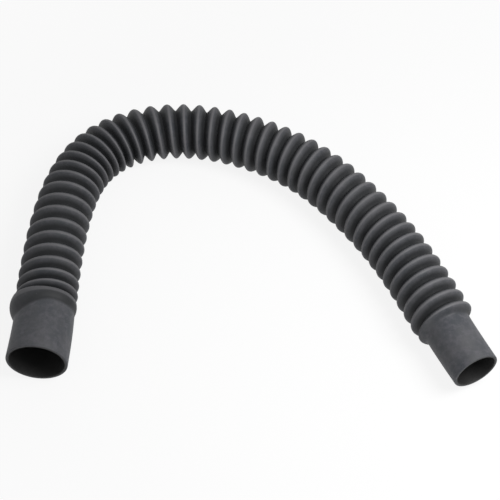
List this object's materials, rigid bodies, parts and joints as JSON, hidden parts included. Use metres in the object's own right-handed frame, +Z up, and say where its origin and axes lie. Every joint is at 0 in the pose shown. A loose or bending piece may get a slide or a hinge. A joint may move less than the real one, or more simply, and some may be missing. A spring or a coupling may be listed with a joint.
{
  "type": "recovery tank drain hose",
  "caption": "Flexible drain hose of one moulded rubber wall with a helical rib, ending in a wide plain cuff and a narrow plain cuff, lying in its stored bend",
  "frame": {"origin": "On the surface that the hose lies on, under the middle of its outline", "axes": "X runs along the hose's longest extent from the wide cuff to the narrow cuff, Y points from the mouths towards the bend, Z is up"},
  "size_m": [0.3956, 0.301, 0.0522],
  "materials": {
    "rubber": "matte"
  },
  "bodies": {
    "root": {"drain_hose": "rubber"}
  },
  "joints": []
}
